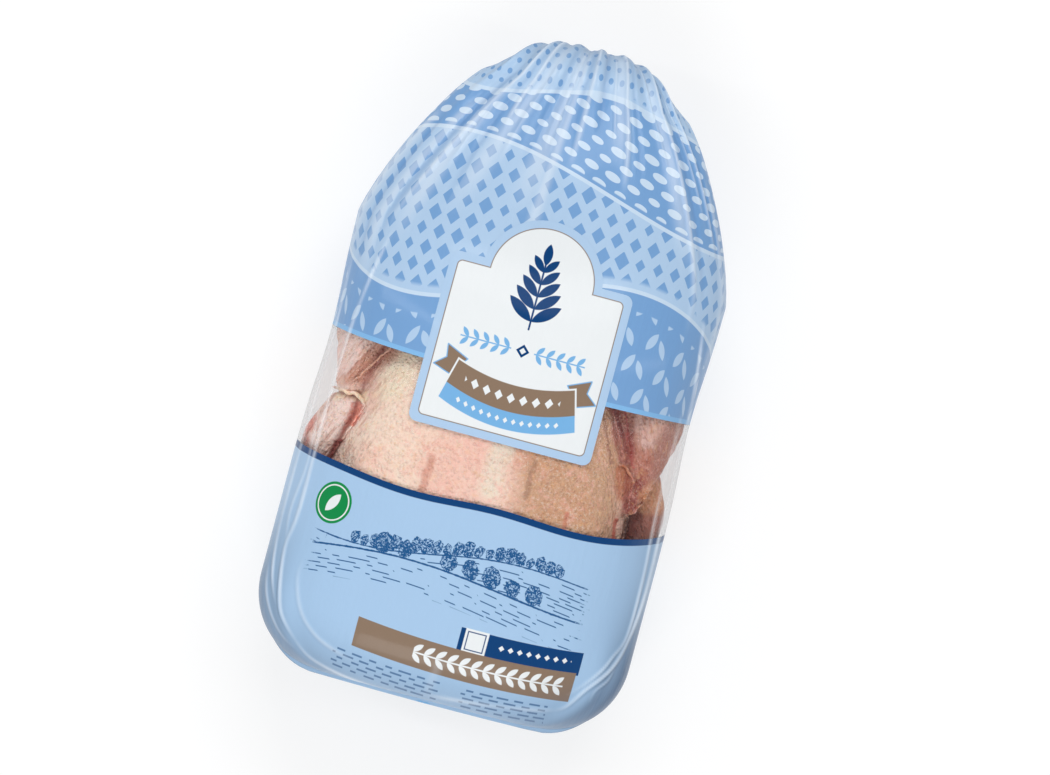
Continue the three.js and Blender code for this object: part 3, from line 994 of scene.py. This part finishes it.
def chicken_skin():
    """Moist raw skin: cream to pink and tan by place, with fine grain and wrinkles. Its folds are darker
    and redder, partly painted shade, and some tints are painted shadow.
    """
    k = Sketch("chicken_skin")
    x, y, z = k.attribute("place")
    fold, limb_share, _ = k.attribute("tone")
    place = k.vector(x, y, z)
    broad = k.noise(place, 0.05, 3.0, 0.6)
    blotch = k.noise(place, 0.16, 4.0, 0.65, 0.6)
    grain = k.noise(place, 0.72, 4.0, 0.75)
    fine = k.noise(k.vector(x, y, z + 50), 1.6, 2.0, 0.8)
    mottle = k.noise(k.vector(x + 90, y, z), 0.36, 4.0, 0.65, 0.4)
    across, along = by_limb(x, y)
    streak = k.noise(k.vector(across * 0.62, along * 0.09, z * 0.3), 1.0, 4.0, 0.65, 0.3)
    k.colour = k.blend(k.smooth(0.38, 0.66, broad), SKIN_BASE, SKIN_PINK)
    tint_along(k, SKIN_TINTS_AND_SHADE, x + (blotch - 0.5) * 9, y + (broad - 0.5) * 12)
    k.lay(k.smooth(0.5, 0.72, blotch) * 0.45, SKIN_PINK)
    k.lay(k.smooth(0.52, 0.7, mottle) * 0.4, SKIN_OCHRE)
    k.lay(k.smooth(0.46, 0.3, mottle) * 0.45, SKIN_PINK)
    coarse = (k.smooth(0.35, 0.65, broad) * 0.5 + 0.5) * (1 - limb_share * 0.6)
    k.lay(k.smooth(0.5, 0.68, grain) * 0.42 * coarse, SKIN_LIGHT)
    k.lay(k.smooth(0.48, 0.32, grain) * 0.36 * coarse, SKIN_DARK)
    k.lay(k.smooth(0.5, 0.7, fine) * 0.16, SKIN_LIGHT)
    wander = (blotch - 0.5) * 4
    tint_along(k, SKIN_MARKS_AND_SHADE, x + wander + (grain - 0.5) * 1.4, y + wander)
    k.lay(k.smooth(0.5, 0.34, streak) * limb_share * 0.55, SKIN_DARK)
    # Painted shade, partly the skin's own red: darker and redder in the folds between the bird's forms
    k.lay(fold * 0.8, FOLD_SHADE_RED)
    pimples = 1 - k.smooth(0.1, 0.6, k.cells(place, 0.6))
    normal = k.bump(k.noise(place, 0.28, 4.0, 0.6, 0.8), 1.0, 0.5)
    normal = k.bump(streak * limb_share, 2.2, 0.8, normal)
    return k.finish(
        Base_Color=k.colour,
        Roughness=0.42,
        Coat_Weight=0.15,
        Coat_Roughness=0.3,
        Subsurface_Weight=0.12,
        Subsurface_Radius=(1.0, 0.45, 0.3),
        Subsurface_Scale=1.5 * MM,
        Normal=k.bump(pimples, 0.5, 0.8, normal),
    )


def metal():
    k = Sketch("crimped_metal")
    scratches = k.noise(k.made("ShaderNodeTexCoord", out="Object"), 900.0, 4.0, 0.6)
    rough = k.smooth(0.2, 0.9, scratches) * 0.3 + 0.22
    shine = k.bump(scratches, 0.05, 0.4)
    return k.finish(Base_Color=srgb(196, 199, 203), Metallic=1.0, Roughness=rough, Normal=shine)


def floor_finish():
    grey, white = (0.34, 0.34, 0.34), (1.0, 1.0, 1.0)
    k = Sketch("pale_floor")
    return k.finish(Base_Color=grey, Emission_Color=white, Emission_Strength=0.66, Roughness=0.9)


# The film, in three parts that meet where the print ends
ROUND_STEPS = 500
ROUND = np.linspace(0, 2 * math.pi, ROUND_STEPS, endpoint=False)
TOP_ROWS = 190
WINDOW_ROWS = 60
BOTTOM_ROWS = 160
# How far from the middle of the sealed end's face the film's first row is
FACE_GAP = 0.4
# How strongly the side creases are whitened as painted highlight, and the least lift that gets it
SIDE_SHEEN_SCALE = 1.3
SIDE_SHEEN_ABOVE = 0.02


def film_part(name, low, high, rows, material):
    """A band of the film between two stations, which may change with the angle round the bag."""
    share = np.linspace(0, 1, rows)[:, None]
    station = low * (1 - share) + high * share
    angle = np.broadcast_to(ROUND, station.shape)
    points = skin(station, angle)
    film = new_object(name, points, grid_faces(rows, ROUND_STEPS), material)
    across, along = print_places(points, station)
    from_edge = {"film_top": station - window_top(ROUND), "film_bottom": window_bottom(ROUND) - station}
    set_vectors(film, "print", across, along, from_edge.get(name, 0))
    # Painted highlight along the pleats and side creases, and painted shade in the pleats' troughs where
    # below 0
    white = long_creases(np.degrees(angle), station)[1]
    side = side_creases(points[..., 0], points[..., 1], np.sin(angle))
    white = np.where(side > SIDE_SHEEN_ABOVE, np.maximum(white, side * SIDE_SHEEN_SCALE), white)
    seam = np.abs(np.abs(across) - np.abs(across).max(axis=1, keepdims=True))
    normals = np.zeros(points.size)
    film.data.vertices.foreach_get("normal", normals)
    # How far the film turns from facing up, which sets its painted shade and the clear film's underside
    # haze
    steep = smooth(0.98, 0.15, normals.reshape(points.shape)[..., 2])
    set_vectors(film, "crease", white, seam, steep)
    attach(film, "root")
    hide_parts("bag")
    return film


def make_film():
    face_start = SEALED_END_Y - END_SPAN + FACE_GAP
    top = film_part("film_top", window_top(ROUND), TAIL_END, TOP_ROWS, upper_print())
    window = film_part("film_window", window_bottom(ROUND), window_top(ROUND), WINDOW_ROWS, clear_film())
    bottom = film_part("film_bottom", face_start, window_bottom(ROUND), BOTTOM_ROWS, lower_print())


# The label: a patch of print that lies on the film
LABEL_LIFT = 0.12
LABEL_STEP = 1.0


def arc(cx, cy, r, start, end, steps=8):
    """Places on an arc, counterclockwise between two angles in degrees."""
    turns = [math.radians(start + (end - start) * i / steps) for i in range(steps + 1)]
    return [(cx + r * math.cos(turn), cy + r * math.sin(turn)) for turn in turns]


def label_outline():
    """The halo's edge, counterclockwise: a rounded box with an arch on its top."""
    left, right = LABEL_LEFT - HALO, LABEL_RIGHT + HALO
    low, high = LABEL_BOTTOM - HALO, LABEL_SHOULDER + HALO
    r, arch_r = LABEL_CORNER_R + HALO * 0.4, ARCH_R + HALO
    rise = math.degrees(math.asin((high - LABEL_SHOULDER) / arch_r))
    return [
        *arc(right - r, low + r, r, -90, 0),
        *arc(right - r, high - r, r, 0, 90),
        *arc(ARCH_X, LABEL_SHOULDER, arch_r, rise, 180 - rise, 48),
        *arc(left + r, high - r, r, 90, 180),
        *arc(left + r, low + r, r, 180, 270),
    ]


def refined(loop, step):
    """The same closed loop with points no further apart than a step."""
    points = []
    for (ax, ay), (bx, by) in zip(loop, loop[1:] + loop[:1]):
        count = max(1, math.ceil(math.hypot(bx - ax, by - ay) / step))
        points += [(ax + (bx - ax) * i / count, ay + (by - ay) * i / count) for i in range(count)]
    return points


def front_points(x, y, lift):
    """Points of the film's front at places across and along the front as seen from above."""
    angles = np.linspace(0.02, math.pi - 0.02, 600)
    rows = np.round(y, 1)
    angle = np.empty_like(x)
    for row in np.unique(rows):
        at = rows == row
        across = skin(np.full_like(angles, row), angles)[:, 0]
        angle[at] = np.interp(-x[at], -across, angles)
    return skin(y, angle, lift)


def make_label():
    outline = refined(label_outline(), LABEL_STEP)
    xs = np.arange(LABEL_LEFT - HALO, LABEL_RIGHT + HALO, LABEL_STEP)
    ys = np.arange(LABEL_BOTTOM - HALO, LABEL_SHOULDER + ARCH_R + HALO, LABEL_STEP)
    inner = [(x, y) for y in ys for x in xs]
    edges = [(i, (i + 1) % len(outline)) for i in range(len(outline))]
    flat, _, faces, *_ = delaunay_2d_cdt([Vector(p) for p in outline + inner], edges, [], 1, 1e-5)
    places = np.array([tuple(p) for p in flat])
    points = front_points(places[:, 0], places[:, 1], LABEL_LIFT)
    label = new_object("label", points, [list(f) for f in faces], label_print())
    set_vectors(label, "print", *places.T, 0)
    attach(label, "root")
    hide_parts("bag")


# The bird: rounded forms joined smoothly and pressed against the inside of the film
BIRD_ROOM = ((-88.0, -153.0, -2.0), (88.0, 132.0, 112.0))
FILM_GAP = 1.0
END_GAP = 3.0
FOLD_SPREAD = 1.6
BIRD_END_Y = -147.0
VOXEL = 1.35
# The height taken for places beside the bird
BESIDE_BIRD_Z = 62.0


def ellipsoid(p, centre, radii):
    q = (p - np.array(centre)) / np.array(radii)
    length = np.sqrt((q**2).sum(-1))
    slope = np.sqrt((q**2 / np.array(radii) ** 2).sum(-1))
    return length * (length - 1) / np.maximum(slope, 1e-6)


def limb(p, a, b, r_a, r_b):
    """A tapered rod with round ends."""
    a, b = np.array(a, float), np.array(b, float)
    along = b - a
    share = clamp01(((p - a) @ along) / (along @ along))
    return np.sqrt(((p - a - share[..., None] * along) ** 2).sum(-1)) - mix(r_a, r_b, share)


def joined(a, b, blend):
    """The union of two forms, with its seam rounded over this width."""
    h = clamp01(0.5 + 0.5 * (b - a) / blend)
    return mix(b, a, h) - blend * h * (1 - h)


# Forms of the body: centre and radii
BODY = (
    ((-24, -75, 57), (45, 96, 52)),
    ((24, -75, 57), (45, 96, 52)),
    ((0, -30, 60), (65, 114, 50)),
    ((0, -6, 40), (72, 124, 39)),
    ((0, 112, 34), (17, 14, 11)),
    ((0, -128, 56), (34, 20, 30)),
)
# Limbs, the left ones first: from, to, radius at each end
LIMBS = (
    ((-64, 38, 57), (-68, -20, 78), 34, 7),
    ((-58, 30, 52), (-20, 112, 46), 22, 8),
    ((-67, -32, 75), (-75, -57, 66), 7.5, 9.5),
    ((-71, -32, 62), (-77, -54, 54), 6, 9.5),
    ((-75, -57, 66), (-66, -112, 50), 9.5, 16),
    ((-64, -40, 56), (-58, -112, 28), 9, 12),
    ((64, 32, 57), (67, -45, 82), 33, 2.2),
    ((58, 30, 52), (20, 112, 46), 22, 8),
    ((71, -30, 62), (76, -50, 63), 7, 9.5),
    ((76, -50, 63), (66, -112, 50), 9.5, 16),
    ((64, -40, 50), (58, -112, 28), 9, 12),
)
BODY_BLEND = 14.0
LIMB_BLEND = 2.5
SEAM_BLEND = 3.5


def bird_field(p):
    """Below 0 inside the bird, in millimetres, and how close each point is to a fold between its forms."""
    limbs = [limb(p, *form) for form in LIMBS]
    body = reduce(lambda a, b: joined(a, b, BODY_BLEND), (ellipsoid(p, *form) for form in BODY))
    closest = np.sort(np.stack([*limbs, body]), axis=0)
    together = reduce(lambda a, b: joined(a, b, LIMB_BLEND), limbs)
    return joined(body, together, SEAM_BLEND), closest[1] - closest[0]


def film_limit(p, station):
    """How far each point of a slice across the bag lies outside the film."""
    angles = np.linspace(0, 2 * math.pi, 240, endpoint=False)
    ring = skin(np.full_like(angles, station), angles)
    centre = section(np.array([station]))["z"][0]
    ring_angle = np.arctan2(ring[:, 2] - centre, ring[:, 0])
    ring_reach = np.hypot(ring[:, 2] - centre, ring[:, 0])
    order = np.argsort(ring_angle)
    angle = np.arctan2(p[..., 2] - centre, p[..., 0])
    limit = np.interp(angle, ring_angle[order], ring_reach[order], period=2 * math.pi)
    return np.hypot(p[..., 2] - centre, p[..., 0]) - limit


def surface_net(field, low, step):
    """The surface where a field on a lattice is 0, as points and quads. The lattice's border is outside."""
    inside = field < 0
    corners = list(np.ndindex(2, 2, 2))
    shape = [n - 1 for n in field.shape]
    parts = [inside[i : i + shape[0], j : j + shape[1], k : k + shape[2]] for i, j, k in corners]
    count = sum(part.astype(np.int8) for part in parts)
    cells = np.argwhere((count > 0) & (count < 8))
    number = np.full(shape, -1)
    number[tuple(cells.T)] = np.arange(len(cells))
    values = np.stack([field[tuple((cells + corner).T)] for corner in corners], axis=1)
    total = np.zeros((len(cells), 3))
    hits = np.zeros(len(cells))
    edges = [(a, b) for a in corners for b in corners if np.subtract(b, a).tolist() in np.eye(3).tolist()]
    for a, b in edges:
        start, end = values[:, corners.index(a)], values[:, corners.index(b)]
        crossed = (start < 0) != (end < 0)
        share = np.where(crossed, start / np.where(crossed, start - end, 1), 0)
        total += (a + share[:, None] * np.subtract(b, a)) * crossed[:, None]
        hits += crossed
    points = low + (cells + total / hits[:, None]) * step
    faces = []
    for axis in range(3):
        one, two = [i for i in range(3) if i != axis]
        changed = np.argwhere(inside != np.roll(inside, -1, axis=axis))
        around = []
        for back_one, back_two in ((1, 1), (0, 1), (0, 0), (1, 0)):
            cell = changed.copy()
            cell[:, one] -= back_one
            cell[:, two] -= back_two
            around.append(number[tuple(cell.T)])
        quads = np.stack(around, axis=1)
        outward = inside[tuple(changed.T)] == (axis != 1)
        quads[~outward] = quads[~outward][:, ::-1]
        faces.append(quads)
    return points, np.concatenate(faces)


def bird_top(axes, field, x, y):
    """The height of the bird's upper side at places seen from the front."""
    inside = field < 0
    last = field.shape[2] - 1 - np.argmax(inside[:, :, ::-1], axis=2)
    last = np.minimum(last, field.shape[2] - 2)
    i, j = np.indices(last.shape)
    here, above = field[i, j, last], field[i, j, last + 1]
    top = axes[2][last] + VOXEL * here / np.where(here == above, 1, here - above)
    top = np.where(inside.any(axis=2), top, BESIDE_BIRD_Z)
    u, v = (x - axes[0][0]) / VOXEL, (y - axes[1][0]) / VOXEL
    i, j = np.floor(u).astype(int), np.floor(v).astype(int)
    u, v = u - i, v - j
    near = mix(top[i, j], top[i + 1, j], u)
    return mix(near, mix(top[i, j + 1], top[i + 1, j + 1], u), v)


# Loose edges of the skin seen from the front: half width, height, then the places along the edge
SKIN_EDGES = (
    (1.0, 0.8, ((-76, -25.6), (-72, -24.8), (-68, -26.4), (-65, -25.6), (-62, -26.6), (-58.6, -29.2))),
    (0.5, 0.5, ((-58.6, -29.2), (-61, -36), (-65, -46), (-69, -58))),
    (0.7, 0.8, ((55.8, -25), (60, -26.6), (63.2, -29), (64.8, -32.2), (65, -37), (65.2, -44))),
    (0.7, 0.7, ((74, -30), (72.6, -33.6), (70.5, -40), (68.4, -44.4), (66.2, -46))),
    (0.7, 0.8, ((66, -46), (66.2, -52), (67.4, -58), (67.8, -61))),
    (0.4, 0.35, ((47, -2), (53, -13), (58, -22))),
    (0.5, 0.4, ((-54, -1), (-61, -12), (-68, -22))),
)
EDGE_STEPS = 60
EDGE_SIDES = 8


def make_skin_edges(axes, field, material):
    """Thin raised edges of skin that lie along the bird's folds."""
    points, faces = [], []
    around = np.linspace(0, 2 * math.pi, EDGE_SIDES, endpoint=False)
    for half_wide, tall, corners in SKIN_EDGES:
        path = np.array(corners, float)
        way = np.concatenate([[0], np.cumsum(np.linalg.norm(np.diff(path, axis=0), axis=1))])
        at = np.linspace(0, way[-1], EDGE_STEPS)
        x, y = np.interp(at, way, path[:, 0]), np.interp(at, way, path[:, 1])
        spot = np.column_stack([x, y, x * 0])
        x = x + 0.5 * noise(spot, 2.4, 3) + 0.3 * noise(spot, 1.1, 5)
        y = y + 0.5 * noise(spot, 2.4, 7) + 0.3 * noise(spot, 1.1, 9)
        ahead = np.column_stack([np.gradient(x), np.gradient(y)])
        ahead /= np.linalg.norm(ahead, axis=1)[:, None]
        z = np.pad(bird_top(axes, field, x, y), 3, mode="edge")
        z = np.convolve(z, np.ones(7) / 7, mode="valid")[:, None]
        taper = np.sin(np.linspace(0.02, math.pi - 0.02, EDGE_STEPS)) ** 0.4
        size = (taper * (1 + 0.35 * noise(spot, 1.6, 11)))[:, None]
        out = half_wide * size * np.cos(around)
        up = tall * size * np.sin(around)
        ring = [x[:, None] - ahead[:, 1:] * out, y[:, None] + ahead[:, :1] * out, z + up]
        start = len(points) * EDGE_STEPS * EDGE_SIDES
        end = start + (EDGE_STEPS - 1) * EDGE_SIDES
        faces += (np.array(grid_faces(EDGE_STEPS, EDGE_SIDES)) + start).tolist()
        faces += [list(range(start, start + EDGE_SIDES)), list(range(end, end + EDGE_SIDES))[::-1]]
        points.append(np.stack(ring, axis=-1))
    points = np.concatenate(points).reshape(-1, 3)
    edges = new_object("skin_edges", points, faces, material)
    set_vectors(edges, "place", *points.T)
    set_vectors(edges, "tone", *points.T * 0)
    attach(edges, "root")
    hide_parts("bag")


def skin_relief(points, limb_share):
    """How deep the skin's wrinkles, lumps and creases go at each point, in millimetres."""
    x, y, z = points.T
    across, along = by_limb(x, y)
    folds = noise(np.column_stack([across, along * 0.16, z * 0.5]), 2.8, 21)
    depth = 0.55 * (1 + folds) * limb_share
    depth += 0.25 * (1 + noise(points, 9, 23)) + 0.12 * (1 + noise(points, 3.4, 25))
    wander = 0.8 * noise(points, 4, 27)
    for ax, ay, bx, by, spread, deep in SKIN_CREASES:
        way, off, length = beside(x, y, ax, ay, bx, by)
        ends = smooth(-1, 3, way) * smooth(-1, 3, length - way)
        depth += deep * bump(off + wander, spread) * ends * (z > CREASES_ABOVE_Z)
    return depth


def make_chicken():
    low, high = np.array(BIRD_ROOM)
    counts = np.ceil((high - low) / VOXEL).astype(int)
    axes = [start + VOXEL * np.arange(count) for start, count in zip(low, counts)]
    grid = np.stack(np.meshgrid(*axes, indexing="ij"), axis=-1)
    field, _ = bird_field(grid)
    field = np.maximum(field, BIRD_END_Y - grid[..., 1])
    for j, station in enumerate(axes[1]):
        gap = FILM_GAP + END_GAP * smooth(-125, -147, station)
        field[:, j] = np.maximum(field[:, j], film_limit(grid[:, j], station) + gap)
    points, faces = surface_net(field, low, VOXEL)
    material = chicken_skin()
    chicken = new_object("chicken", points, faces.tolist(), material)
    # How near each point is to a fold between forms, where the skin gets painted shade
    _, to_fold = bird_field(points)
    fold = bump(to_fold, FOLD_SPREAD)
    limb_share = smooth(46, 60, np.abs(points[:, 0]))
    normals = np.zeros(len(points) * 3)
    chicken.data.vertices.foreach_get("normal", normals)
    points = points - normals.reshape(-1, 3) * skin_relief(points, limb_share)[:, None]
    chicken.data.vertices.foreach_set("co", (points * MM).ravel())
    chicken.data.update()
    set_vectors(chicken, "place", *points.T)
    set_vectors(chicken, "tone", fold, limb_share, 0)
    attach(chicken, "root")
    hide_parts("bag")
    make_skin_edges(axes, field, material)


# Camera, floor and lights
PHOTO_WIDTH = 1050
MM_PER_PIXEL = 0.446
VIEW_CENTRE = (7.5, -3.5)
PHOTO_TILT = math.radians(15)
CAMERA_HEIGHT = 3000.0
OUTLINE_HEIGHT = 60.0
WORLD_STRENGTH = 0.38
FLOOR_HALF = 3000.0
LIGHTS_AIM = (0, 0, 0.05)
# Soft boxes: name, place in metres, size in metres, power in watts
LIGHTS = (
    ("top_box", (0.0, 1.5, 1.75), (1.6, 0.8), 21.5),
    ("bottom_box", (0.0, -1.6, 1.65), (1.6, 0.8), 19.5),
    ("left_strip", (-1.1, 0.1, 0.9), (0.1, 1.6), 3.0),
    ("right_strip", (1.1, 0.1, 0.9), (0.1, 1.6), 2.0),
)


def make_camera():
    data = bpy.data.cameras.new("camera")
    data.sensor_width = 36.0
    data.lens = data.sensor_width * (CAMERA_HEIGHT - OUTLINE_HEIGHT) / (PHOTO_WIDTH * MM_PER_PIXEL)
    data.clip_end = 20.0
    camera = placed("camera", data)
    camera.location = (VIEW_CENTRE[0] * MM, VIEW_CENTRE[1] * MM, CAMERA_HEIGHT * MM)
    camera.rotation_euler = (0, 0, PHOTO_TILT)
    bpy.context.scene.camera = camera


def area_light(name, place, size, power):
    data = bpy.data.lights.new(name, "AREA")
    data.shape = "RECTANGLE"
    data.size, data.size_y = size
    data.energy = power
    light = placed(name, data)
    light.location = place
    aim = Vector(LIGHTS_AIM) - Vector(place)
    light.rotation_euler = aim.to_track_quat("-Z", "Y").to_euler()


def make_stage():
    half = FLOOR_HALF
    corners = [(-half, -half, 0), (half, -half, 0), (half, half, 0), (-half, half, 0)]
    new_object("floor", corners, [(0, 1, 2, 3)], floor_finish())
    world = bpy.data.worlds.new("studio")
    world.use_nodes = True
    background = world.node_tree.nodes["Background"]
    background.inputs["Color"].default_value = (1, 1, 1, 1)
    background.inputs["Strength"].default_value = WORLD_STRENGTH
    bpy.context.scene.world = world
    for name, place, size, power in LIGHTS:
        area_light(name, place, size, power)
    bpy.context.scene.view_settings.view_transform = "Standard"


def dress_clip():
    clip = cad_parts["clip"]
    clip.data.materials.clear()
    clip.data.materials.append(metal())


make_camera()
make_stage()
make_film()
make_label()
make_chicken()
dress_clip()
